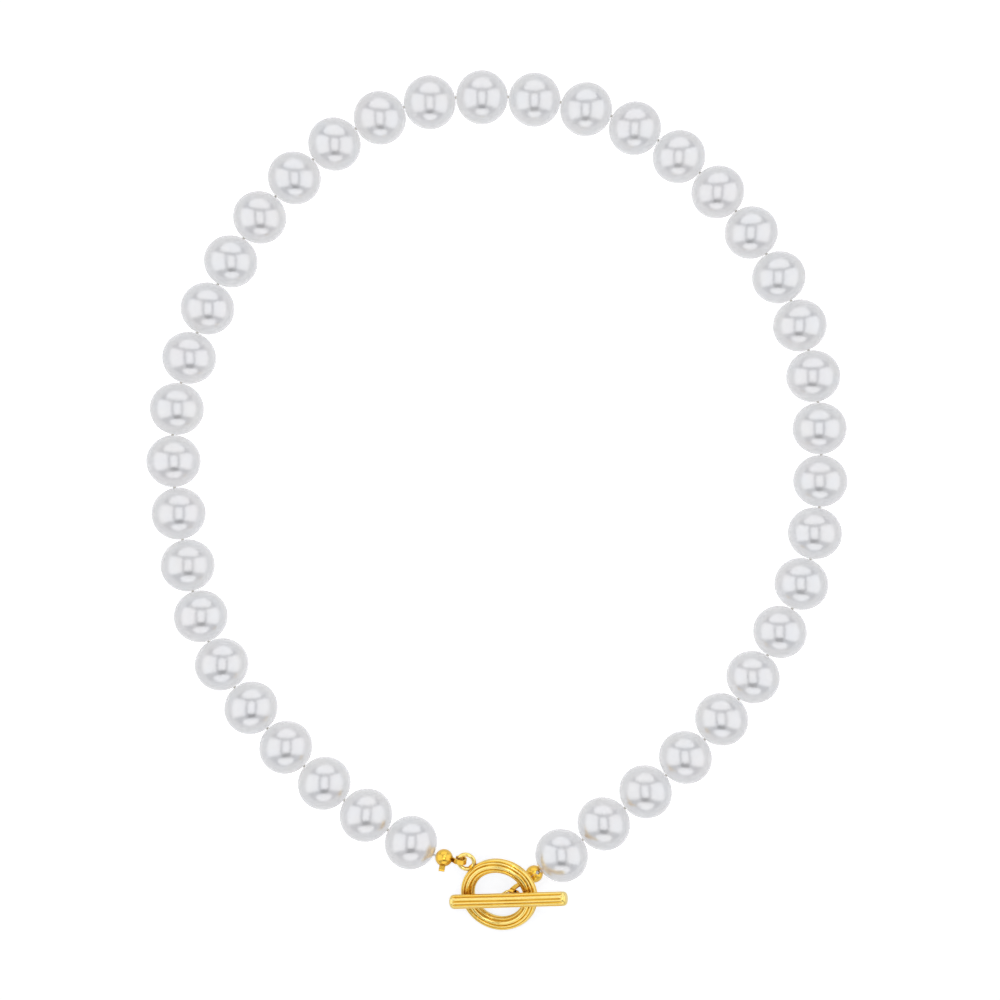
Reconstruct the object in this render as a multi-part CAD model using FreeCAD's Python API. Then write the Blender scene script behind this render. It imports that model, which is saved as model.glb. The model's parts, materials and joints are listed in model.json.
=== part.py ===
import FreeCAD, Part

# A single strand of forty round pearls closed by a toggle clasp, lying flat.
# Millimetres. +Z is up, the clasp is at the front (-Y), and the origin is on the
# surface below the middle of the strand.

import math
import os

Vec = FreeCAD.Vector

# ---- driving dimensions ------------------------------------------------------

pearl_count = 40
pearl_diameter = 10.15         # across the bore
pearl_length = 9.7             # along the bore, a little flattened at the drilled ends
pearl_gap = 0.165              # between neighbours, measured along the thread
bore_diameter = 1.0
bore_chamfer = 0.2
thread_diameter = 0.55
thread_play = 0.85             # share of the room in a bore that the thread's bends use
straight_share = 0.45          # most of a run between two bends that one bend may use

rod_diameter = 2.75            # reeded rod of the toggle ring and bar, over its ridges
rod_reeds = 10                 # ridges round the rod
reed_depth = 0.3
ring_radius = 6.0              # middle of the rod, round the toggle ring
ring_place = (0.2, -73.9)      # where the ring's centre lies on the surface
ring_tilt = 28.0               # degrees from lying flat
ring_high_side = 61.0          # degrees from +X towards +Y: the raised side of the ring

ring_eye_radius = 1.5          # middle of the eye's wire
ring_eye_wire = 0.8
ring_eye_direction = 135.0     # degrees round the ring, seen from above
ring_eye_sink = 0.45           # how far the eye's wire is let into the ring

bar_length = 22.7
bar_place = (1.93, -74.86)     # where the bar's middle lies on the surface
bar_turn = 2.45                # degrees from +X, seen from above
bar_rest_gap = 0.03            # between the bar and the ring that it lies on
bar_plain_end = 0.8            # smooth length at each end of the bar
bar_end_rounding = 0.75

bar_eye_radius = 1.65
bar_eye_wire = 0.56
bar_eye_offset = 0.15          # from the bar's middle, towards its right end
bar_eye_height = 1.0           # from the bar's axis to the middle of the eye's circle
bar_eye_droop = 50.0           # degrees that the eye points down, behind the bar

cup_radius = 1.65              # outside of a closed bead tip
cup_wall = 0.25
cup_seam = 0.06                # between the two closed cups
cup_thread_hole = 0.8
cup_strip_slot = 1.6
tab_width = 1.1
tab_leaf = 0.24                # thickness of each leaf of the folded tab
tab_reach = 2.45               # from the cups' centre to the line that they fold on
fold_play = 0.03
strip_width = 0.95
strip_thickness = 0.3
strip_sink = 0.05              # how far the strip starts inside the cup's wall
knot_diameter = 1.6

ring_tip_place = (-10.15, -67.0, 5.0)  # centre of the bead tip that holds the ring
ring_tip_roll = 20.0                   # degrees that its tab is turned up from level
ring_hook_radius = 0.8
ring_hook_slack = 0.6                  # the eye's wire lies this far back in the hook
bar_tip_place = (6.75, -70.15, 2.5)    # centre of the bead tip that holds the bar
bar_tip_roll = -90.0
bar_hook_radius = 0.62
bar_hook_slack = 0.2
bar_hook_turn = 18.0                   # degrees round the bar's eye from its crown

# How the strand lies: from the ring's bead tip, up the left side, round the back and
# down the right side to the bar's bead tip, about two pearls between points.
strand_route = [
    (-12.0, -66.5), (-28.5, -56.5), (-43.0, -43.0), (-54.0, -27.0), (-59.0, -8.0),
    (-61.0, 12.0), (-56.5, 31.0), (-48.0, 48.5), (-35.0, 63.5), (-18.0, 73.5),
    (1.5, 75.5), (21.0, 72.0), (37.5, 61.5), (50.0, 46.5), (58.0, 28.5),
    (60.5, 9.0), (58.5, -11.0), (50.5, -29.0), (39.0, -44.5), (24.0, -57.5),
    (8.0, -69.5),
]

# The hook's bends in hook radii: how far ahead of the eye's wire, how far up, and the
# length taken by the bend there.
hook_bends = [
    (-1.2, 1.0, 0.35), (1.0, 1.0, 0.98), (1.0, -1.0, 0.98), (-0.9, -1.0, 0.3),
]
hook_end = (-1.4, -0.5)

bisections = 40                # halvings when one pitch is stepped off along the route
straight_turn = 1e-3           # radians: a smaller turn needs no bend
shortest_run = 1e-6

# ---- sizes that follow -------------------------------------------------------

pearl_radius = pearl_diameter / 2
pearl_pitch = pearl_length + pearl_gap
pearl_height = pearl_radius
bore_radius = bore_diameter / 2
thread_radius = thread_diameter / 2
rod_radius = rod_diameter / 2


def unit(vector):
    return Vec(vector).normalize()


def polar(angle):
    """Level unit vector at an angle in degrees from +X."""
    return Vec(math.cos(math.radians(angle)), math.sin(math.radians(angle)), 0)


def across(vector, direction):
    """The part of a vector at right angles to a direction, as a unit vector."""
    return unit(vector - direction * vector.dot(direction))


ring_axis = unit(Vec(0, 0, 1) * math.cos(math.radians(ring_tilt))
                 - polar(ring_high_side) * math.sin(math.radians(ring_tilt)))
ring_centre = Vec(*ring_place, rod_radius + ring_radius * math.sin(math.radians(ring_tilt)))


def on_ring_plane(x, y, lift=0.0):
    """The point over (x, y) on the ring's plane, or on one lifted along the ring's axis."""
    drop = ring_axis.x * (x - ring_centre.x) + ring_axis.y * (y - ring_centre.y)
    return Vec(x, y, ring_centre.z + (lift - drop) / ring_axis.z)


# The ring's eye lies in the ring's plane, let into its outer edge.
ring_eye_side = unit(on_ring_plane(*(ring_centre + polar(ring_eye_direction))[:2]) - ring_centre)
ring_eye_centre = ring_centre + ring_eye_side * (
    ring_radius + rod_radius + ring_eye_radius + ring_eye_wire / 2 - ring_eye_sink)

# The bar lies flat on the ring's upper face.
bar_lift = rod_diameter + bar_rest_gap
bar_centre = on_ring_plane(*bar_place, bar_lift)
bar_ahead = Vec(*bar_place, 0) + polar(bar_turn)
bar_axis = unit(on_ring_plane(bar_ahead.x, bar_ahead.y, bar_lift) - bar_centre)
bar_level = unit(Vec(0, 0, 1).cross(bar_axis))
bar_under = unit(bar_axis.cross(bar_level)) * -1
bar_eye_reach = (bar_level * math.cos(math.radians(bar_eye_droop))
                 + bar_under * math.sin(math.radians(bar_eye_droop)))
bar_eye_centre = bar_centre + bar_axis * bar_eye_offset + bar_eye_reach * bar_eye_height
bar_eye_axis = unit(bar_axis.cross(bar_eye_reach))


class TipFrame:
    """Where a bead tip lies: its ball, its strip towards the wire it hooks, its fold."""

    def __init__(self, place, thread_from, wire_point, wire_run, roll, hook_radius, slack):
        self.centre = Vec(*place)
        self.thread_side = unit(thread_from - self.centre)
        self.ahead = unit(wire_point - self.centre)
        self.strip_side = across(wire_run, self.ahead)
        self.strip_up = unit(self.ahead.cross(self.strip_side))
        if self.strip_up.z < 0:
            self.strip_side = self.strip_side * -1
            self.strip_up = self.strip_up * -1
        side = across(self.ahead.cross(Vec(0, 0, 1)), self.ahead)
        turn = FreeCAD.Rotation(self.ahead, roll * -1)
        self.tab = turn.multVec(side)
        self.lid = unit(self.tab.cross(self.ahead))
        self.fold_point = self.centre + self.tab * tab_reach
        self.hook_radius = hook_radius
        self.hook_distance = (wire_point - self.centre).Length + slack

    def strip_point(self, ahead, up):
        return self.centre + self.ahead * ahead + self.strip_up * up


def ring_tip_frame(thread_from):
    towards_tip = across(Vec(*ring_tip_place) - ring_eye_centre, ring_axis)
    wire_point = ring_eye_centre + towards_tip * ring_eye_radius
    return TipFrame(ring_tip_place, thread_from, wire_point, ring_axis.cross(towards_tip),
                    ring_tip_roll, ring_hook_radius, ring_hook_slack)


def bar_tip_frame(thread_from):
    turn = math.radians(bar_hook_turn)
    spoke = bar_eye_reach * math.cos(turn) + bar_axis * math.sin(turn)
    wire_point = bar_eye_centre + spoke * bar_eye_radius
    return TipFrame(bar_tip_place, thread_from, wire_point, bar_eye_axis.cross(spoke),
                    bar_tip_roll, bar_hook_radius, bar_hook_slack)


# ---- the strand's line -------------------------------------------------------

def gap_points():
    """The thread's points between pearls, one pitch apart along the route."""
    route = Part.BSplineCurve()
    route.interpolate([Vec(x, y, pearl_height) for x, y in strand_route])
    points = [route.value(route.FirstParameter)]
    low = route.FirstParameter
    two_pitches = 2 * pearl_pitch * (route.LastParameter - low) / route.length()
    for _ in range(pearl_count):
        near = low
        far = low + two_pitches
        for _ in range(bisections):
            middle = (near + far) / 2
            if (route.value(middle) - points[-1]).Length < pearl_pitch:
                near = middle
            else:
                far = middle
        low = near
        points.append(route.value(low))
    return points


def rounded_path(points, tangent_lengths):
    """Straight runs through the points, joined by tangent arcs. Returns edges and radii."""
    edges = []
    radii = []
    start = points[0]
    for before, corner, after, length in zip(points, points[1:], points[2:], tangent_lengths):
        run_in = unit(corner - before)
        run_out = unit(after - corner)
        turn = run_in.getAngle(run_out)
        if turn < straight_turn:
            continue
        arc_start = corner - run_in * length
        arc_end = corner + run_out * length
        radius = length / math.tan(turn / 2)
        middle = corner + unit(run_out - run_in) * (radius / math.cos(turn / 2) - radius)
        if (arc_start - start).Length > shortest_run:
            edges.append(Part.LineSegment(start, arc_start).toShape())
        edges.append(Part.Arc(arc_start, middle, arc_end).toShape())
        radii.append(radius)
        start = arc_end
    edges.append(Part.LineSegment(start, points[-1]).toShape())
    return edges, radii


def placed(shape, origin, x_axis, z_axis):
    """A shape moved from the origin to a point, with its X and Z along two directions."""
    y_axis = z_axis.cross(x_axis)
    turn = FreeCAD.Rotation(x_axis, y_axis, z_axis, "ZXY")
    moved = shape.copy()
    moved.Placement = FreeCAD.Placement(origin, turn)
    return moved


# ---- pearls and thread -------------------------------------------------------

def pearl():
    """One drilled pearl with chamfered bore ends, its bore along X."""
    outline = Part.Ellipse(Vec(0, pearl_radius, 0), Vec(pearl_length / 2, 0, 0), Vec(0, 0, 0))
    quarter = math.pi / 2
    arc = Part.ArcOfEllipse(outline, -quarter, quarter).toShape()
    ends = [vertex.Point for vertex in arc.Vertexes]
    face = Part.Face(Part.Wire([arc, Part.LineSegment(ends[1], ends[0]).toShape()]))
    ball = face.revolve(Vec(0, 0, 0), Vec(1, 0, 0), 360).toNurbs()
    return ball.cut(pearl_bore()).Solids[0]


def pearl_bore():
    """What the drill takes out of a pearl, with its two chamfers, along X."""
    mouth_radius = bore_radius + bore_chamfer
    mouth = pearl_length / 2 * math.sqrt(1 - (mouth_radius / pearl_radius) ** 2)
    corners = [
        Vec(-pearl_length, 0, 0),
        Vec(-pearl_length, mouth_radius, 0),
        Vec(-mouth, mouth_radius, 0),
        Vec(bore_chamfer - mouth, bore_radius, 0),
        Vec(mouth - bore_chamfer, bore_radius, 0),
        Vec(mouth, mouth_radius, 0),
        Vec(pearl_length, mouth_radius, 0),
        Vec(pearl_length, 0, 0),
    ]
    face = Part.Face(Part.makePolygon(corners + corners[:1]))
    return face.revolve(Vec(0, 0, 0), Vec(1, 0, 0), 360)


def thread_points(gaps, ring_tip, bar_tip):
    return [ring_tip.centre] + gaps + [bar_tip.centre]


def thread(points):
    """The whole thread from knot to knot, each bend as wide as the bores leave room for."""
    play = thread_play * (bore_radius - thread_radius)
    lengths = []
    for before, corner, after in zip(points, points[1:], points[2:]):
        turn = (corner - before).getAngle(after - corner)
        shorter = min((corner - before).Length, (after - corner).Length)
        lengths.append(min(straight_share * shorter, 2 * play / math.tan(turn / 2)))
    edges, radii = rounded_path(points, lengths)
    path = Part.Wire(edges)
    start = unit(points[1] - points[0])
    section = Part.Wire(Part.makeCircle(thread_radius, points[0], start))
    body = Part.Solid(path.makePipeShell([section], True, False))
    length = path.Length
    print("thread length %.1f, volume over section x length %.4f"
          % (length, body.Volume / (math.pi * thread_radius ** 2 * length)))
    print("thread arc radii from %.1f to %.1f" % (min(radii), max(radii)))
    return body


def end_knot(tip, thread_body):
    """The knot that fills a bead tip, tied in the thread's own end."""
    return Part.makeSphere(knot_diameter / 2, tip.centre).cut(thread_body)


# ---- toggle ------------------------------------------------------------------

def reeded_section():
    """Section of the reeded rod in the XZ plane, centred on the origin."""
    valley_radius = rod_radius - reed_depth
    step = 2 * math.pi / rod_reeds
    edges = []
    for reed in range(rod_reeds):
        corners = []
        for angle, radius in ((reed - 0.5, valley_radius), (reed, rod_radius),
                              (reed + 0.5, valley_radius)):
            corners.append(Vec(radius * math.cos(angle * step), 0, radius * math.sin(angle * step)))
        edges.append(Part.Arc(*corners).toShape())
    return Part.Face(Part.Wire(edges))


def toggle_ring():
    section = reeded_section()
    section.translate(Vec(ring_radius, 0, 0))
    body = section.revolve(Vec(0, 0, 0), Vec(0, 0, 1), 360)
    return placed(body, ring_centre, ring_eye_side, ring_axis)


def toggle_ring_eye(ring_body):
    wire = Part.makeTorus(ring_eye_radius, ring_eye_wire / 2, ring_eye_centre, ring_axis)
    return wire.cut(ring_body)


def toggle_bar():
    reeded_length = bar_length - 2 * bar_plain_end
    section = reeded_section()
    section.translate(Vec(0, -reeded_length / 2, 0))
    body = section.extrude(Vec(0, reeded_length, 0))
    for side in (-1, 1):
        end = Part.makeCylinder(rod_radius, bar_plain_end, Vec(0, side * reeded_length / 2, 0),
                                Vec(0, side, 0))
        outer = max(end.Edges, key=lambda edge: side * edge.CenterOfMass.y)
        body = body.fuse(end.makeFillet(bar_end_rounding, [outer]))
    across_bar = unit(bar_axis.cross(ring_axis))
    return placed(body, bar_centre, across_bar, ring_axis)


def toggle_bar_eye(bar_body):
    wire = Part.makeTorus(bar_eye_radius, bar_eye_wire / 2, bar_eye_centre, bar_eye_axis)
    return wire.cut(bar_body)


# ---- bead tips ---------------------------------------------------------------

def half_ball(tip, side):
    """One cup of a bead tip: side 1 is the folding cup, side -1 the one with the strip."""
    shell = Part.makeSphere(cup_radius, tip.centre).cut(
        Part.makeSphere(cup_radius - cup_wall, tip.centre))
    reach = 2 * cup_radius
    block = Part.makeBox(2 * reach, 2 * reach, reach, Vec(-reach, -reach, cup_seam / 2))
    half = shell.common(placed(block, tip.centre, tip.ahead, tip.lid * side))
    hole = Part.makeCylinder(cup_thread_hole / 2, reach, tip.centre, tip.thread_side)
    return half.cut(hole)


def tab_leaf_box(tip, side):
    """One leaf of the folded tab, from inside the cup's wall to the fold line."""
    root = math.sqrt(cup_radius ** 2 - (tab_width / 2) ** 2) - cup_wall / 2
    leaf = Part.makeBox(tab_width, tab_reach - root, tab_leaf,
                        Vec(-tab_width / 2, root, cup_seam / 2))
    # The box's local Y runs along the tab, and its local Z to this leaf's own side.
    if side > 0:
        return placed(leaf, tip.centre, tip.tab.cross(tip.lid), tip.lid)
    return placed(leaf, tip.centre, tip.tab.cross(tip.lid * -1), tip.lid * -1)


def fold_barrel(tip, radius):
    start = tip.fold_point - tip.ahead * (tab_width / 2)
    return Part.makeCylinder(radius, tab_width, start, tip.ahead)


def hook_strip(tip):
    """The flat strip that leaves the ball and curls round the clasp's eye."""
    radius = tip.hook_radius
    points = [tip.strip_point(cup_radius - cup_wall + strip_sink, 0)]
    for ahead, up, _ in hook_bends:
        points.append(tip.strip_point(tip.hook_distance + ahead * radius, up * radius))
    points.append(tip.strip_point(tip.hook_distance + hook_end[0] * radius,
                                  hook_end[1] * radius))
    edges, _ = rounded_path(points, [length * radius for _, _, length in hook_bends])
    half_width = tip.strip_side * (strip_width / 2)
    start_run = unit(points[1] - points[0])
    half_thickness = unit(tip.strip_side.cross(start_run)) * (strip_thickness / 2)
    section = Part.makePolygon([
        points[0] + half_width + half_thickness,
        points[0] - half_width + half_thickness,
        points[0] - half_width - half_thickness,
        points[0] + half_width - half_thickness,
        points[0] + half_width + half_thickness,
    ])
    return Part.Solid(Part.Wire(edges).makePipeShell([section], True, False))


def bead_tip_base(tip):
    """The cup with the strip, its leaf of the tab and the fold's round outside."""
    cup = half_ball(tip, -1)
    barrel = fold_barrel(tip, tab_leaf + cup_seam / 2)
    leaf = tab_leaf_box(tip, -1)
    inside = Part.makeSphere(cup_radius - cup_wall, tip.centre)
    return cup.fuse([leaf, barrel, hook_strip(tip).cut(inside)]).removeSplitter()


def bead_tip_lid(tip):
    """The folding cup with its leaf of the tab, notched where the strip leaves."""
    cup = half_ball(tip, 1)
    slot = Part.makeCylinder(cup_strip_slot / 2, 2 * cup_radius, tip.centre, tip.ahead)
    barrel_room = fold_barrel(tip, tab_leaf + cup_seam / 2 + fold_play)
    leaf = tab_leaf_box(tip, 1).cut(barrel_room)
    return cup.cut(slot).fuse(leaf).removeSplitter()


# ---- build -------------------------------------------------------------------

def build():
    gaps = gap_points()
    ring_tip = ring_tip_frame(gaps[0])
    bar_tip = bar_tip_frame(gaps[-1])
    nodes = {}
    drilled = pearl()
    for number, (start, end) in enumerate(zip(gaps, gaps[1:]), 1):
        nodes["pearl_%02d" % number] = placed(drilled, (start + end) / 2, unit(end - start),
                                              Vec(0, 0, 1))
    thread_body = thread(thread_points(gaps, ring_tip, bar_tip))
    nodes["stringing_thread"] = thread_body
    nodes["ring_end_knot"] = end_knot(ring_tip, thread_body)
    nodes["bar_end_knot"] = end_knot(bar_tip, thread_body)
    nodes["toggle_ring"] = toggle_ring()
    nodes["toggle_ring_eye"] = toggle_ring_eye(nodes["toggle_ring"])
    nodes["toggle_bar"] = toggle_bar()
    nodes["toggle_bar_eye"] = toggle_bar_eye(nodes["toggle_bar"])
    for name, tip in (("ring_bead_tip", ring_tip), ("bar_bead_tip", bar_tip)):
        nodes[name + "_base"] = bead_tip_base(tip)
        nodes[name + "_lid"] = bead_tip_lid(tip)
    return nodes


os.makedirs("parts", exist_ok=True)
for node_name, node_shape in build().items():
    solid, = node_shape.Solids
    print("%s valid %s volume %.2f" % (node_name, solid.isValid(), solid.Volume))
    solid.exportStep("parts/%s.step" % node_name)
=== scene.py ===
import json
import math
import random

import bpy
import numpy as np
from mathutils import Matrix, Vector


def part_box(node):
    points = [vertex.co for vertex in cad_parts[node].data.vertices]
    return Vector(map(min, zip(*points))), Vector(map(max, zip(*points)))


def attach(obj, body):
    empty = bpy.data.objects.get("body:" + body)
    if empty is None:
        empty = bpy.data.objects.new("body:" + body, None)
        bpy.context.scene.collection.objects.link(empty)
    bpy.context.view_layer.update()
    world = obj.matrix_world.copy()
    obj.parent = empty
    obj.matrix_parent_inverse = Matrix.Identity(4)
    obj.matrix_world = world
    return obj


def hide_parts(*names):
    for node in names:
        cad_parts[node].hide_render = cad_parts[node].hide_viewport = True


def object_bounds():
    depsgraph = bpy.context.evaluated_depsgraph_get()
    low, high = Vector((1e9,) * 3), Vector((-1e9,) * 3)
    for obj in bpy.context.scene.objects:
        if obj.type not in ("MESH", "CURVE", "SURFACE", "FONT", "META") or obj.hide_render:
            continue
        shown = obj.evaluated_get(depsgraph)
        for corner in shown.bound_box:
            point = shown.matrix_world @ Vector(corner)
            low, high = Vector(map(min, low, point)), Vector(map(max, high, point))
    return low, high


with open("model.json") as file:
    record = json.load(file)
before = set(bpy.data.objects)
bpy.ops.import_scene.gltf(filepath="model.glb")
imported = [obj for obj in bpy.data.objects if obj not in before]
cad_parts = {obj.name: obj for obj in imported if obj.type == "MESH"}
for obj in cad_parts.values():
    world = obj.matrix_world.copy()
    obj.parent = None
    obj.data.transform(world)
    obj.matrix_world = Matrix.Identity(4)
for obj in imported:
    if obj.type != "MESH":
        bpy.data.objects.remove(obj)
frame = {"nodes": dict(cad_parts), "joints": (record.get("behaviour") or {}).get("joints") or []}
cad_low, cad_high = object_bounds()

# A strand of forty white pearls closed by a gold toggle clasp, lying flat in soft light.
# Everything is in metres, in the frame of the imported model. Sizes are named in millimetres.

MM = 0.001
UP = Vector((0, 0, 1))

# ---- sizes, in millimetres ---------------------------------------------------

PEARLS = 40
PEARL_RADIUS = 5.075
PEARL_HALF_LENGTH = 4.85
BORE_RADIUS = 0.5
BORE_CHAMFER = 0.2
THREAD_RADIUS = 0.275
ROD_RADIUS = 1.375
REEDS = 10
GROOVE_DEPTH = 0.40             # if a reed were fully half-round; the deepest here reach 0.35
REED_EDGES = (0.0, 1.4, 2.05, 3.4, 4.1, 5.3, 6.45, 7.1, 8.3, 9.25)      # uneven, as cast and filed
RING_RADIUS = 6.0
RING_EYE_RADIUS = 1.5
RING_EYE_WIRE = 0.4             # the wire's radius
BAR_LENGTH = 22.7
BAR_PLAIN_END = 0.8
BAR_END_ROUNDING = 0.75
FLUTING_FADE = 0.8              # the grooves run out over this much of the bar
FLUTING_PAST = 0.3              # and end this far past the start of its plain end
BAR_EYE_RADIUS = 1.65
BAR_EYE_WIRE = 0.28             # the wire's radius
BAR_EYE_OFFSET = 0.15           # along the bar from its middle
BAR_EYE_HEIGHT = 1.0            # of the eye's middle above the bar's
BAR_EYE_DROOP = math.radians(50.0)      # down from level, behind the bar
KNOT_RADIUS = 0.8
THREAD_FROM_KNOT = 0.5          # where a bead tip's own piece of thread starts, inside its knot
MOUTH_FROM_KNOT = 1.65          # where it ends, at the bead tip's thread hole

# ---- light and view, in metres and degrees ------------------------------------

FLOOR_GLOW = 0.48               # of the table as it is seen
FLOOR_GLOW_MIRRORED = 0.30      # and as the necklace mirrors it
PANEL_RADIANCE = 0.75           # of the soft boxes that show as windows in the pearls
PANEL_DISTANCE = 0.8
SPARKLE_RADIANCE = 4.8          # of the small lamps that light the gold alone
SPARKLE_DIAMETER = 0.16
SPARKLES = ((60, 28), (250, 14))        # azimuth and tilt of each
FILL_RADIANCE = 1.0             # of the wide diffuser overhead
FILL_DIAMETER = 1.6
FILL_DISTANCE = 1.4
DARK_CARD_HALF = (0.17, 0.085)
DARK_CARD_PLACE = (270, 39, 0.6)        # azimuth, tilt, distance
ROOM_GLOSS = 0.62               # the studio between the soft boxes, as it is mirrored
ROOM_FILL = 0.35                # light from the studio all round
BACKDROP_GREY = 0.85            # what is seen past the table's edge
ROOM_TINT = (0.985, 0.99, 1.03, 1.0)
TABLE_RINGS = (0.15, 0.5, 1.2, 2.0, 4.0)
TABLE_AROUND = 64
CAMERA_HEIGHT = 1.6
VIEW_WIDTH = 187.3 * MM         # what the view spans at the height of the pearls' middles
VIEW_CENTRE = (0.34 * MM, 0.0)
SENSOR = 36.0                   # millimetres, as a lens's length is

joints = {joint["name"]: joint for joint in frame["joints"]}


def joint_place(name):
    return Vector(joints[name]["pos_m"]) / MM


def joint_axis(name):
    return Vector(joints[name]["axis"]).normalized()


# ---- mesh tools --------------------------------------------------------------

def closed_faces(rows, columns, wrap_rows, wrap_columns):
    """Four-sided faces of a grid of points, joined round in either direction."""
    faces = []
    for i in range(rows if wrap_rows else rows - 1):
        for j in range(columns if wrap_columns else columns - 1):
            i2 = (i + 1) % rows
            j2 = (j + 1) % columns
            faces.append((i * columns + j, i * columns + j2, i2 * columns + j2, i2 * columns + j))
    return faces


def make_piece(name, points, faces, body, replaced, slot, material, groove=None):
    """A smooth mesh from points in millimetres, riding on a body in place of CAD nodes."""
    mesh = bpy.data.meshes.new(name)
    mesh.from_pydata([tuple(Vector(p) * MM) for p in points], [], faces)
    mesh.polygons.foreach_set("use_smooth", [True] * len(mesh.polygons))
    if groove is not None:
        mesh.attributes.new("groove", "FLOAT", "POINT").data.foreach_set("value", groove)
    mesh.materials.append(material)
    piece = bpy.data.objects.new(name, mesh)
    bpy.context.scene.collection.objects.link(piece)
    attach(piece, body)
    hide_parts(*replaced)
    if slot == "gold":
        piece.visible_diffuse = False
    else:
        piece.visible_glossy = False
    return piece


def frame_along(direction):
    """Two unit vectors square to a direction and to each other."""
    side = direction.cross(UP)
    if side.length < 0.1:
        side = direction.cross(Vector((1, 0, 0)))
    side.normalize()
    return side, side.cross(direction)


def tube(path, radii, around, closed=False):
    """Points and faces of a round tube along a path, with flat ends when it is open."""
    count = len(path)
    points = []
    side = None
    for i, centre in enumerate(path):
        ahead = path[(i + 1) % count] if closed or i + 1 < count else centre
        behind = path[i - 1] if closed or i > 0 else centre
        run = (ahead - behind).normalized()
        if side is None:
            side, _ = frame_along(run)
        side = (side - run * side.dot(run)).normalized()
        up = run.cross(side)
        for j in range(around):
            angle = math.tau * j / around
            points.append(centre + (side * math.cos(angle) + up * math.sin(angle)) * radii[i])
    faces = closed_faces(count, around, closed, True)
    if not closed:
        faces.append(tuple(reversed(range(around))))
        faces.append(tuple(range((count - 1) * around, count * around)))
    return points, faces


# ---- materials ---------------------------------------------------------------

SMOOTH_GROOVE = 0.25            # how far the smooth pieces are toned towards a groove's colour


class Nodes:
    """Short calls for building one material's nodes."""

    def __init__(self, name):
        self.material = bpy.data.materials.new(name)
        self.material.use_nodes = True
        self.tree = self.material.node_tree
        self.shader = self.tree.nodes["Principled BSDF"]
        coordinates = self.tree.nodes.new("ShaderNodeTexCoord")
        scaled = self.tree.nodes.new("ShaderNodeMapping")
        scaled.inputs["Scale"].default_value = (1 / MM,) * 3
        self.link(coordinates.outputs["Object"], scaled.inputs["Vector"])
        self.place = scaled.outputs["Vector"]

    def link(self, source, target):
        self.tree.links.new(source, target)

    def noise(self, scale, detail=2.0, roughness=0.5, distortion=0.0):
        """Noise whose features are about 1/scale millimetres across."""
        node = self.tree.nodes.new("ShaderNodeTexNoise")
        node.inputs["Scale"].default_value = scale
        node.inputs["Detail"].default_value = detail
        node.inputs["Roughness"].default_value = roughness
        node.inputs["Distortion"].default_value = distortion
        self.link(self.place, node.inputs["Vector"])
        return node.outputs["Fac"]

    def attribute(self, name):
        node = self.tree.nodes.new("ShaderNodeAttribute")
        node.attribute_name = name
        return node.outputs["Fac"]

    def crevice(self, reach_mm):
        """1 deep in a fold or against another surface, 0 where the surface is open."""
        node = self.tree.nodes.new("ShaderNodeAmbientOcclusion")
        node.samples = 8
        node.inputs["Distance"].default_value = reach_mm * MM
        return self.remap(node.outputs["AO"], 0.9, 0.35)

    def mirrored(self):
        """1 where the surface is seen in a glossy one, 0 where it is seen directly."""
        return self.tree.nodes.new("ShaderNodeLightPath").outputs["Is Glossy Ray"]

    def facing(self, blend):
        node = self.tree.nodes.new("ShaderNodeLayerWeight")
        node.inputs["Blend"].default_value = blend
        return node.outputs["Facing"]

    def remap(self, value, low, high, to_low=0.0, to_high=1.0):
        node = self.tree.nodes.new("ShaderNodeMapRange")
        self.link(value, node.inputs["Value"])
        for socket, number in (("From Min", low), ("From Max", high),
                               ("To Min", to_low), ("To Max", to_high)):
            node.inputs[socket].default_value = number
        return node.outputs["Result"]

    def math(self, operation, first, second):
        node = self.tree.nodes.new("ShaderNodeMath")
        node.operation = operation
        for socket, value in zip(node.inputs, (first, second)):
            if isinstance(value, (int, float)):
                socket.default_value = value
            else:
                self.link(value, socket)
        return node.outputs["Value"]

    def mix(self, factor, first, second):
        node = self.tree.nodes.new("ShaderNodeMix")
        node.data_type = "RGBA"
        names = {socket.identifier: socket for socket in node.inputs}
        for socket, value in ((names["Factor_Float"], factor), (names["A_Color"], first),
                              (names["B_Color"], second)):
            if isinstance(value, (int, float)):
                socket.default_value = value
            elif isinstance(value, tuple):
                socket.default_value = (*value, 1.0)
            else:
                self.link(value, socket)
        return [output for output in node.outputs if output.identifier == "Result_Color"][0]

    def bump(self, height, distance_mm, strength=1.0, under=None):
        node = self.tree.nodes.new("ShaderNodeBump")
        node.inputs["Distance"].default_value = distance_mm * MM
        node.inputs["Strength"].default_value = strength
        self.link(height, node.inputs["Height"])
        if under is not None:
            self.link(under, node.inputs["Normal"])
        return node.outputs["Normal"]

    def set(self, **values):
        for name, value in values.items():
            socket = self.shader.inputs[name.replace("_", " ")]
            if isinstance(value, (int, float, tuple)):
                socket.default_value = value
            else:
                self.link(value, socket)


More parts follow.
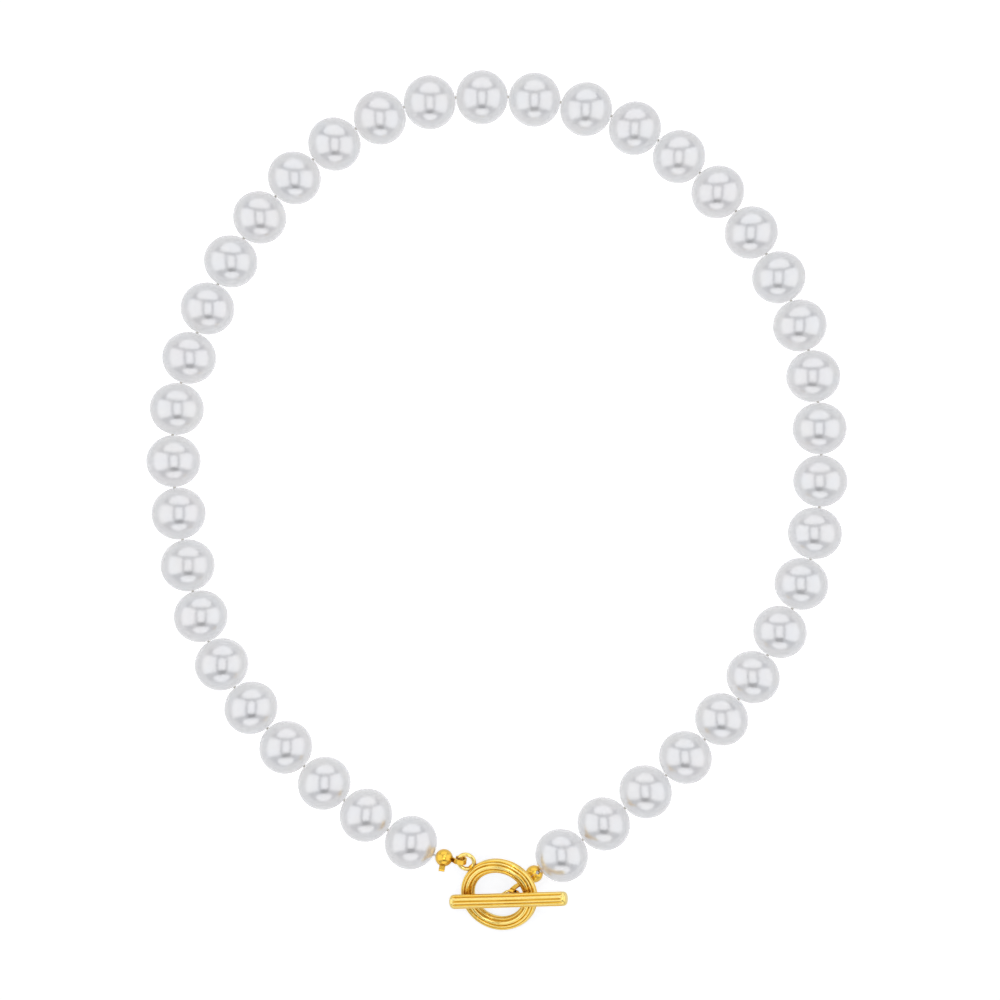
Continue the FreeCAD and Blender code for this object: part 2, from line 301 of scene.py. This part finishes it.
def nacre_material():
    """White nacre: a pale body under a soft mirror, with faint clouds of warm and cool, and a painted
    sheen that lightens it towards the outline.
    """
    n = Nodes("nacre")
    clouds = n.noise(0.22, detail=3.0, roughness=0.55, distortion=0.6)
    warm = n.mix(n.remap(clouds, 0.35, 0.7), (0.85, 0.86, 0.875), (0.87, 0.865, 0.855))
    rosy = n.mix(n.remap(n.noise(0.13, detail=1.0), 0.4, 0.75, 0.0, 0.5), warm, (0.875, 0.85, 0.855))
    terraces = n.noise(1.9, detail=5.0, roughness=0.6, distortion=1.2)
    body = n.mix(n.remap(terraces, 0.3, 0.7, 0.0, 0.25), rosy, (0.81, 0.815, 0.825))
    # Painted sheen: the base colour turns paler where the surface turns away from the view, towards
    # each pearl's outline.
    rim_sheen = n.mix(n.remap(n.facing(0.35), 0.35, 0.95, 0.0, 0.35), body, (0.86, 0.87, 0.875))
    pits = n.remap(n.noise(6.0, detail=2.0), 0.6, 0.8)
    soft = n.remap(clouds, 0.3, 0.7, 0.205, 0.24)
    surface = n.bump(terraces, 0.006, 0.35)
    n.set(Base_Color=rim_sheen, Metallic=0.42, IOR=1.56, Coat_Weight=0.3, Coat_IOR=1.5,
          Subsurface_Weight=0.8, Subsurface_Radius=(1.0, 1.0, 1.0), Subsurface_Scale=2.5 * MM,
          Roughness=n.math("ADD", soft, n.math("MULTIPLY", pits, 0.05)),
          Coat_Roughness=n.remap(terraces, 0.3, 0.7, 0.1, 0.14),
          Normal=n.bump(pits, 0.004, 0.3, under=surface))
    return n.material


def gold_material(name, groove=None):
    """Satin gold plate with fine polishing marks. Its colour carries a painted highlight on the
    ridges and painted shade, browner, in the grooves and creases.
    The groove is a mesh attribute from 0 to 1, or one number for a piece without reeds."""
    n = Nodes(name)
    groove = n.attribute("groove") if groove is None else n.math("ADD", groove, 0.0)
    # Painted shade: ambient occlusion finds creases and spots against other surfaces, and the colour
    # is darkened there.
    shut = n.crevice(0.7)
    tone = n.noise(0.5, detail=3.0, roughness=0.6)
    # Painted highlight: the reeds' crests get a paler gold than the rest.
    crest = n.mix(n.remap(tone, 0.3, 0.7), (0.86, 0.64, 0.17), (0.89, 0.70, 0.25))
    plate = n.mix(n.remap(groove, 0.04, 0.3), crest, (0.80, 0.46, 0.03))
    # Painted shade: the colour turns browner towards the bottom of each groove.
    groove_shade = n.mix(n.remap(groove, 0.3, 0.85), plate, (0.60, 0.23, 0.002))
    # Painted shade: darker brown still in the creases that the occlusion finds.
    crevice_shade = n.mix(shut, groove_shade, (0.36, 0.115, 0.002))
    spots = n.remap(n.noise(3.1, detail=4.0, roughness=0.7), 0.58, 0.75, 0.0, 0.3)
    marks = n.noise(5.0, detail=6.0, roughness=0.7, distortion=0.4)
    waves = n.noise(0.9, detail=2.0, roughness=0.5)
    n.set(Base_Color=n.mix(spots, crevice_shade, (0.74, 0.36, 0.02)), Metallic=1.0,
          Coat_Weight=0.12, Coat_Roughness=0.14,
          Roughness=n.math("ADD", n.remap(marks, 0.3, 0.7, 0.17, 0.27),
                           n.math("MULTIPLY", groove, 0.12)),
          Normal=n.bump(marks, 0.01, 0.5, under=n.bump(waves, 0.05, 0.6)))
    return n.material


def silk_material():
    """Twisted bead silk: off-white, fibrous, with soft sheen."""
    n = Nodes("bead_silk")
    fibres = n.noise(9.0, detail=4.0, roughness=0.65, distortion=1.5)
    lint = n.noise(1.3, detail=2.0)
    body = n.mix(n.remap(fibres, 0.3, 0.7), (0.86, 0.83, 0.76), (0.66, 0.63, 0.56))
    n.set(Base_Color=n.mix(n.remap(lint, 0.4, 0.7, 0.0, 0.4), body, (0.90, 0.88, 0.83)),
          Roughness=n.remap(fibres, 0.3, 0.7, 0.6, 0.8), Sheen_Weight=0.4,
          Normal=n.bump(fibres, 0.02, 0.7))
    return n.material


def table_material():
    """The pale table under the necklace: matt white with the faintest mottling."""
    n = Nodes("table")
    mottle = n.noise(0.02, detail=2.0)
    n.set(Base_Color=n.mix(n.remap(mottle, 0.3, 0.7), (0.93, 0.93, 0.93), (0.95, 0.95, 0.95)),
          Roughness=0.9, Emission_Color=(1.0, 1.0, 1.0, 1.0),
          Emission_Strength=n.remap(n.mirrored(), 0.0, 1.0, FLOOR_GLOW, FLOOR_GLOW_MIRRORED))
    return n.material


nacre = nacre_material()
gold = gold_material("gold_plate")
gold_smooth = gold_material("gold_plate_smooth", SMOOTH_GROOVE)
silk = silk_material()


# ---- light and camera --------------------------------------------------------

def aim(thing, azimuth, tilt, distance):
    """Puts a light or card at a direction from the middle, facing it: azimuth from +X, tilt
    from straight up."""
    azimuth = math.radians(azimuth)
    tilt = math.radians(tilt)
    direction = Vector((math.sin(tilt) * math.cos(azimuth), math.sin(tilt) * math.sin(azimuth),
                        math.cos(tilt)))
    level = Vector((-math.sin(azimuth), math.cos(azimuth), 0))
    turn = Matrix((level, direction.cross(level), direction)).transposed()
    thing.matrix_world = Matrix.Translation(direction * distance) @ turn.to_4x4()
    bpy.context.scene.collection.objects.link(thing)


def area_light(name, shape, width, height, radiance):
    light = bpy.data.lights.new(name, "AREA")
    light.shape = shape
    light.size = width
    light.size_y = height
    share = 1.0 if shape == "RECTANGLE" else math.pi / 4
    light.energy = radiance * math.pi * width * height * share
    lamp = bpy.data.objects.new(name, light)
    lamp.visible_camera = False
    return lamp


def panel(name, azimuth, tilt, width, height, shape="RECTANGLE"):
    """A soft box, which the glossy surfaces mirror."""
    lamp = area_light(name, shape, width, height, PANEL_RADIANCE)
    lamp.visible_diffuse = False
    aim(lamp, azimuth, tilt, PANEL_DISTANCE)


def dark_card():
    """A black card over the front of the table: the dark spot in the pearls."""
    half_width, half_height = DARK_CARD_HALF
    mesh = bpy.data.meshes.new("dark_card")
    mesh.from_pydata([(-half_width, -half_height, 0), (half_width, -half_height, 0),
                      (half_width, half_height, 0), (-half_width, half_height, 0)],
                     [], [(0, 1, 2, 3)])
    n = Nodes("black_card")
    n.set(Base_Color=(0.01, 0.01, 0.01, 1.0), Roughness=1.0, Specular_IOR_Level=0.0)
    mesh.materials.append(n.material)
    card = bpy.data.objects.new("dark_card", mesh)
    card.visible_camera = False
    card.visible_diffuse = False
    card.visible_shadow = False
    aim(card, *DARK_CARD_PLACE)


def room():
    """The studio: one brightness for what is mirrored, one for fill, one past the table."""
    world = bpy.data.worlds.new("room")
    world.use_nodes = True
    tree = world.node_tree
    rays = tree.nodes.new("ShaderNodeLightPath")
    strength = None
    for ray, brightness in (("Is Glossy Ray", ROOM_GLOSS), ("Is Camera Ray", BACKDROP_GREY)):
        step = tree.nodes.new("ShaderNodeMath")
        step.operation = "MULTIPLY_ADD"
        step.inputs[1].default_value = brightness - ROOM_FILL
        step.inputs[2].default_value = ROOM_FILL
        tree.links.new(rays.outputs[ray], step.inputs[0])
        if strength is not None:
            tree.links.new(strength, step.inputs[2])
        strength = step.outputs["Value"]
    tree.nodes["Background"].inputs["Color"].default_value = ROOM_TINT
    tree.links.new(strength, tree.nodes["Background"].inputs["Strength"])
    bpy.context.scene.world = world


def lights():
    panel("light_overhead", 90, 1, 0.44, 0.78)
    panel("light_left", 180, 58, 1.06, 0.98)
    panel("light_right", 0, 58, 1.06, 0.98)
    panel("light_back", 90, 66, 1.25, 0.72, "ELLIPSE")
    panel("light_front", 270, 67, 0.86, 0.52, "ELLIPSE")
    fill = area_light("light_fill", "DISK", FILL_DIAMETER, FILL_DIAMETER, FILL_RADIANCE)
    fill.visible_glossy = False
    aim(fill, 90, 0, FILL_DISTANCE)
    dark_card()
    room()


def sparkle(pieces):
    """Two small bright lamps that light the clasp's gold alone."""
    receivers = bpy.data.collections.new("gold_pieces")
    for piece in pieces:
        receivers.objects.link(piece)
    for number, (azimuth, tilt) in enumerate(SPARKLES):
        lamp = area_light("light_sparkle_%d" % number, "DISK", SPARKLE_DIAMETER, SPARKLE_DIAMETER,
                          SPARKLE_RADIANCE)
        aim(lamp, azimuth, tilt, PANEL_DISTANCE)
        lamp.light_linking.receiver_collection = receivers


def camera():
    data = bpy.data.cameras.new("camera")
    data.sensor_width = SENSOR
    data.lens = SENSOR * (CAMERA_HEIGHT - PEARL_RADIUS * MM) / VIEW_WIDTH
    data.clip_start = 0.01
    data.clip_end = 20.0
    view = bpy.data.objects.new("camera", data)
    view.location = (*VIEW_CENTRE, CAMERA_HEIGHT)
    bpy.context.scene.collection.objects.link(view)
    bpy.context.scene.camera = view
    bpy.context.scene.view_settings.view_transform = "Standard"


def table():
    """A wide round table top."""
    points = []
    for radius in TABLE_RINGS:
        for i in range(TABLE_AROUND):
            angle = math.tau * i / TABLE_AROUND
            points.append(Vector((radius * math.cos(angle), radius * math.sin(angle), 0.0)))
    faces = closed_faces(len(TABLE_RINGS), TABLE_AROUND, False, True)
    faces.append(tuple(range(TABLE_AROUND)))
    mesh = bpy.data.meshes.new("table")
    mesh.from_pydata([tuple(p) for p in points], [], faces)
    mesh.materials.append(table_material())
    top = bpy.data.objects.new("table", mesh)
    top.location.z = cad_low.z
    bpy.context.scene.collection.objects.link(top)


# ---- pearls ------------------------------------------------------------------

PEARL_AROUND = 72
PEARL_ALONG = 46
OUT_OF_ROUND = 0.005            # most that a pearl falls short of its full size, as a share of it


def pearl_gaps():
    """The thread's points between pearls: gaps[k] lies between pearl k and pearl k + 1, and the
    first and last lie outside the end pearls."""
    gaps = {}
    for k in range(1, PEARLS):
        name = "bend_%02d_%02d" % ((k, k + 1) if k >= 20 else (k + 1, k))
        gaps[k] = joint_place(name)
    gaps[PEARLS] = joint_place("bar_tip_bend")
    gaps[0] = pearl_centre(1) * 2 - gaps[1]
    return gaps


def pearl_centre(k):
    low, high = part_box("pearl_%02d" % k)
    return (low + high) / 2 / MM


def pearl_profile():
    """Half section of a drilled pearl: (along the bore, out from it), all the way round."""
    mouth_radius = BORE_RADIUS + BORE_CHAMFER
    start = math.asin(mouth_radius / PEARL_RADIUS)
    profile = []
    for i in range(PEARL_ALONG + 1):
        angle = start + (math.pi - 2 * start) * i / PEARL_ALONG
        profile.append((PEARL_HALF_LENGTH * math.cos(angle), PEARL_RADIUS * math.sin(angle)))
    mouth = profile[0][0]
    throat = mouth - BORE_CHAMFER
    shoulder = BORE_CHAMFER * 0.3
    inner = [(-mouth + shoulder, mouth_radius - shoulder * 1.4), (-throat, BORE_RADIUS),
             (-throat * 0.5, BORE_RADIUS), (throat * 0.5, BORE_RADIUS), (throat, BORE_RADIUS),
             (mouth - shoulder, mouth_radius - shoulder * 1.4)]
    return profile + inner


def lumps(rng, count=7):
    """A smooth function of direction from 0 to 1, made of a few broad swells."""
    swells = []
    for _ in range(count):
        direction = Vector((rng.gauss(0, 1), rng.gauss(0, 1), rng.gauss(0, 1))).normalized()
        swells.append((direction, rng.uniform(1.5, 4.0), rng.uniform(0, math.tau)))

    def height(direction):
        total = sum(math.sin(rate * direction.dot(axis) + phase) for axis, rate, phase in swells)
        return 0.5 + 0.5 * total / count
    return height


def pearl(k, gaps, rng, profile):
    centre = pearl_centre(k)
    along = (gaps[k] - gaps[k - 1]).normalized()
    side, up = frame_along(along)
    height = lumps(rng)
    points = []
    for x, radius in profile:
        for j in range(PEARL_AROUND):
            angle = math.tau * j / PEARL_AROUND
            offset = along * x + (side * math.cos(angle) + up * math.sin(angle)) * radius
            size = 1 - OUT_OF_ROUND * height(offset.normalized())
            points.append(centre + offset * size)
    faces = closed_faces(len(profile), PEARL_AROUND, True, True)
    node = "pearl_%02d" % k
    make_piece(node + "_nacre", points, faces, node, [node], "pearl", nacre)


# ---- thread and knots --------------------------------------------------------

PLIES = 3
PLY_AROUND = 6
TWIST_PITCH = 1.6               # millimetres of thread for one turn of its plies
STEPS_PER_MM = 3.0
TIP_STEPS = 3                   # rings of points that round off each end of a ply
KNOT_STEPS = 120
KNOT_AROUND = 10
TREFOIL_REACH = 3.05            # how far the unscaled knot's cord lies from its middle


def twisted_thread(name, start, end, body):
    """A straight run of three-ply thread with rounded ends, from one bend to the next."""
    run = end - start
    length = run.length
    ahead = run.normalized()
    side, up = frame_along(ahead)
    ply_radius = THREAD_RADIUS * 0.5
    orbit = THREAD_RADIUS - ply_radius
    steps = max(6, int(length * STEPS_PER_MM))
    points = []
    faces = []
    for ply in range(PLIES):
        path = []
        radii = []
        for i in range(-TIP_STEPS, steps + TIP_STEPS + 1):
            share = min(max(i / steps, 0.0), 1.0)
            beyond = max(-i, i - steps, 0) / TIP_STEPS
            reach = math.sin(beyond * math.pi / 2) * ply_radius * 0.9
            x = share * length + math.copysign(reach, i - steps / 2)
            angle = math.tau * (x / TWIST_PITCH + ply / PLIES)
            path.append(start + ahead * x
                        + (side * math.cos(angle) + up * math.sin(angle)) * orbit)
            radii.append(ply_radius * max(math.cos(beyond * math.pi / 2), 0.2))
        ply_points, ply_faces = tube(path, radii, PLY_AROUND)
        first = len(points)
        points += ply_points
        faces += [tuple(first + v for v in face) for face in ply_faces]
    make_piece(name, points, faces, body, ["stringing_thread"], "thread", silk)


def knot(name, centre, body, seed):
    """An overhand knot pulled tight: a cord's trefoil drawn into a small ball."""
    rng = random.Random(seed)
    turn = Matrix.Rotation(rng.uniform(0, math.tau), 3, Vector((rng.gauss(0, 1), rng.gauss(0, 1), 1)))
    cord = THREAD_RADIUS * 0.95
    path = []
    for i in range(KNOT_STEPS):
        t = math.tau * i / KNOT_STEPS
        spot = Vector((math.sin(t) + 2 * math.sin(2 * t), math.cos(t) - 2 * math.cos(2 * t),
                       -1.5 * math.sin(3 * t)))
        path.append(centre + turn @ spot * ((KNOT_RADIUS - cord) / TREFOIL_REACH))
    points, faces = tube(path, [cord] * KNOT_STEPS, KNOT_AROUND, closed=True)
    make_piece(name + "_tied", points, faces, body, [name], "thread", silk)


# ---- toggle ------------------------------------------------------------------

AROUND_REED = 10
RING_STEPS = 260
BAR_STEPS = 150
BAR_END_STEPS = 8
REED_ROUNDNESS = 0.985          # 1 would make each reed's section a full half circle
RING_REED_TWIST = 0.5           # reeds that the ring's reeding turns to either side, going round
RING_REED_WAVER = 0.45
BAR_REED_TURN = 0.9             # reeds that the bar's reeding is turned by
BAR_REED_WAVER = 0.35
HAND_WORK = 0.02                # how far the rod's radius wavers, as a share of it
EYE_STEPS = 96
EYE_AROUND = 20
EYE_SLIMMING = 0.985            # the free wire's radius, as a share of its full size
SOLDER_SWELL = 0.45             # what solder adds to the wire's radius, as a share of it
SOLDER_TONE = 0.6               # how far solder is toned towards a groove's colour


def reed_radius(turn):
    """Radius of the reeded rod at a turn counted in reeds, and the depth of the groove there
    from 0 to 1. The grooves lie at the reeds' uneven edges."""
    turn = turn % REEDS
    edges = REED_EDGES + (float(REEDS),)
    reed = max(i for i in range(REEDS) if edges[i] <= turn)
    width = edges[reed + 1] - edges[reed]
    across = (turn - edges[reed]) / width * 2 - 1
    depth = 1 - math.sqrt(1 - REED_ROUNDNESS * across ** 2)
    return ROD_RADIUS - GROOVE_DEPTH * depth * min(width, 1.0), depth


def toggle_ring():
    centre = joint_place("ring_swivel")
    axis = joint_axis("ring_swivel")
    side = joint_place("ring_hook_swivel") - centre
    side = (side - axis * side.dot(axis)).normalized()
    other = axis.cross(side)
    rng = random.Random(11)
    waver = lumps(rng, 12)
    swell = lumps(rng, 12)
    points = []
    groove = []
    columns = REEDS * AROUND_REED
    for i in range(RING_STEPS):
        u = math.tau * i / RING_STEPS
        out = side * math.cos(u) + other * math.sin(u)
        for j in range(columns):
            turn = j / AROUND_REED
            v = math.tau * turn / REEDS
            spot = out * (1.0 + 0.25 * math.cos(v)) + axis * 0.25 * math.sin(v)
            shift = (RING_REED_TWIST * math.cos(u + 0.6)
                     + RING_REED_WAVER * (waver(spot * 1.6) - 0.5))
            radius, depth = reed_radius(turn + shift)
            radius *= 1 - HAND_WORK * swell(spot * 3.0)
            points.append(centre + out * (RING_RADIUS + radius * math.cos(v))
                          + axis * radius * math.sin(v))
            groove.append(depth)
    faces = closed_faces(RING_STEPS, columns, True, True)
    faces = [tuple(reversed(face)) for face in faces]
    return make_piece("toggle_ring_reeded", points, faces, "toggle_ring", ["toggle_ring"], "gold",
                      gold, groove)


def wire_eye(name, node, body, centre, axis, towards, radius, wire, flare):
    """A ring of wire that thickens into solder where it meets the part it is fixed to. The flare
    lists where that is, as angles round the eye, and how far the solder spreads."""
    other = axis.cross(towards)
    path = []
    radii = []
    for i in range(EYE_STEPS):
        angle = math.tau * i / EYE_STEPS
        path.append(centre + (towards * math.cos(angle) + other * math.sin(angle)) * radius)
        near = sum(math.exp(-((angle - at + math.pi) % math.tau - math.pi) ** 2 / spread ** 2)
                   for at, spread in flare)
        radii.append(wire * (EYE_SLIMMING + SOLDER_SWELL * min(near, 1.0)))
    points, faces = tube(path, radii, EYE_AROUND, closed=True)
    groove = [min(max((radii[i // EYE_AROUND] / wire - 1.15) * 2.5, 0.0), 1.0) * SOLDER_TONE
              for i in range(len(points))]
    return make_piece(name, points, faces, body, [node], "gold", gold, groove)


def ring_eye():
    centre = joint_place("ring_hook_swivel")
    axis = joint_axis("ring_swivel")
    towards = (joint_place("ring_swivel") - centre).normalized()
    return wire_eye("toggle_ring_eye_wire", "toggle_ring_eye", "toggle_ring", centre, axis, towards,
                    RING_EYE_RADIUS, RING_EYE_WIRE, [(0.0, 0.45)])


def bar_frame():
    """The bar's middle, its run, and the direction square to it that points off the ring."""
    vertices = frame["nodes"]["toggle_bar"].data.vertices
    spots = np.array([v.co for v in vertices], float) / MM
    low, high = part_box("toggle_bar")
    centre = (low + high) / 2 / MM
    _, _, runs = np.linalg.svd(spots - spots.mean(0), full_matrices=False)
    run = Vector(runs[0])
    if run.x < 0:
        run = -run
    off = joint_axis("ring_swivel")
    return centre, run, (off - run * off.dot(run)).normalized()


def bar_stations():
    """Places along the bar from its middle, closer together round its ends."""
    half = BAR_LENGTH / 2
    stations = [-half + BAR_END_ROUNDING * (1 - math.cos(math.pi / 2 * i / BAR_END_STEPS))
                for i in range(BAR_END_STEPS)]
    stations += [-half + BAR_END_ROUNDING + (2 * half - 2 * BAR_END_ROUNDING) * i / BAR_STEPS
                 for i in range(BAR_STEPS + 1)]
    stations += [-x for x in reversed(stations[:BAR_END_STEPS])]
    return stations


def bar_end(x):
    """How much the bar's rounded end takes off its radius at a place along it, and how much of
    the grooves' depth is left there."""
    half = BAR_LENGTH / 2
    from_end = min(half - abs(x), BAR_END_ROUNDING)
    rounding = BAR_END_ROUNDING - math.sqrt(
        max(BAR_END_ROUNDING ** 2 - (BAR_END_ROUNDING - from_end) ** 2, 0))
    fluted = half - BAR_PLAIN_END
    fade = min(max((fluted + FLUTING_PAST - abs(x)) / FLUTING_FADE, 0.0), 1.0)
    return rounding, fade * fade * (3 - 2 * fade)


def toggle_bar():
    centre, run, off = bar_frame()
    side = run.cross(off)
    rng = random.Random(23)
    waver = lumps(rng, 10)
    swell = lumps(rng, 12)
    columns = REEDS * AROUND_REED
    stations = bar_stations()
    points = []
    groove = []
    for x in stations:
        rounding, fade = bar_end(x)
        for j in range(columns):
            turn = j / AROUND_REED
            v = math.tau * turn / REEDS
            out = side * math.cos(v) + off * math.sin(v)
            spot = out * 0.4 + Vector((x / 6, 0, 0))
            shift = BAR_REED_WAVER * (waver(spot * 1.3) - 0.5)
            radius, depth = reed_radius(turn + BAR_REED_TURN + shift)
            radius = ROD_RADIUS + (radius - ROD_RADIUS) * fade
            radius = (radius - rounding) * (1 - HAND_WORK * swell(spot * 2.5))
            points.append(centre + run * x + out * radius)
            groove.append(depth * fade)
    faces = [tuple(reversed(face)) for face in closed_faces(len(stations), columns, False, True)]
    faces.append(tuple(range(columns)))
    faces.append(tuple(reversed(range(len(points) - columns, len(points)))))
    return make_piece("toggle_bar_reeded", points, faces, "toggle_bar", ["toggle_bar"], "gold",
                      gold, groove)


def bar_eye():
    centre, run, off = bar_frame()
    level = UP.cross(run).normalized()
    under = -run.cross(level).normalized()
    reach = level * math.cos(BAR_EYE_DROOP) + under * math.sin(BAR_EYE_DROOP)
    middle = centre + run * BAR_EYE_OFFSET + reach * BAR_EYE_HEIGHT
    axis = run.cross(reach).normalized()
    root = math.acos((BAR_EYE_HEIGHT - ROD_RADIUS) / BAR_EYE_RADIUS)
    return wire_eye("toggle_bar_eye_wire", "toggle_bar_eye", "toggle_bar", middle, axis, -reach,
                    BAR_EYE_RADIUS, BAR_EYE_WIRE, [(root, 0.3), (-root, 0.3)])


# ---- build -------------------------------------------------------------------

def bead_tips():
    """The bead tips' cups keep their CAD shapes and get the gold."""
    shells = [frame["nodes"][node] for node in ("ring_bead_tip_base", "ring_bead_tip_lid",
                                                "bar_bead_tip_base", "bar_bead_tip_lid")]
    for shell in shells:
        shell.data.materials.clear()
        shell.data.materials.append(gold_smooth)
        shell.visible_diffuse = False
    return shells


def build():
    gaps = pearl_gaps()
    profile = pearl_profile()
    rng = random.Random(5)
    for k in range(1, PEARLS + 1):
        pearl(k, gaps, rng, profile)
        twisted_thread("thread_in_pearl_%02d" % k, gaps[k - 1], gaps[k], "pearl_%02d" % k)
    for node, body, end, seed in (("ring_end_knot", "ring_bead_tip", gaps[0], 3),
                                  ("bar_end_knot", "bar_bead_tip", gaps[PEARLS], 8)):
        low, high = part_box(node)
        centre = (low + high) / 2 / MM
        knot(node, centre, body, seed)
        out = (end - centre).normalized()
        start = min((end - centre).length, MOUTH_FROM_KNOT)
        twisted_thread("thread_to_" + node, centre + out * start, centre + out * THREAD_FROM_KNOT,
                       body)
    sparkle([toggle_ring(), ring_eye(), toggle_bar(), bar_eye()] + bead_tips())


table()
lights()
camera()
build()
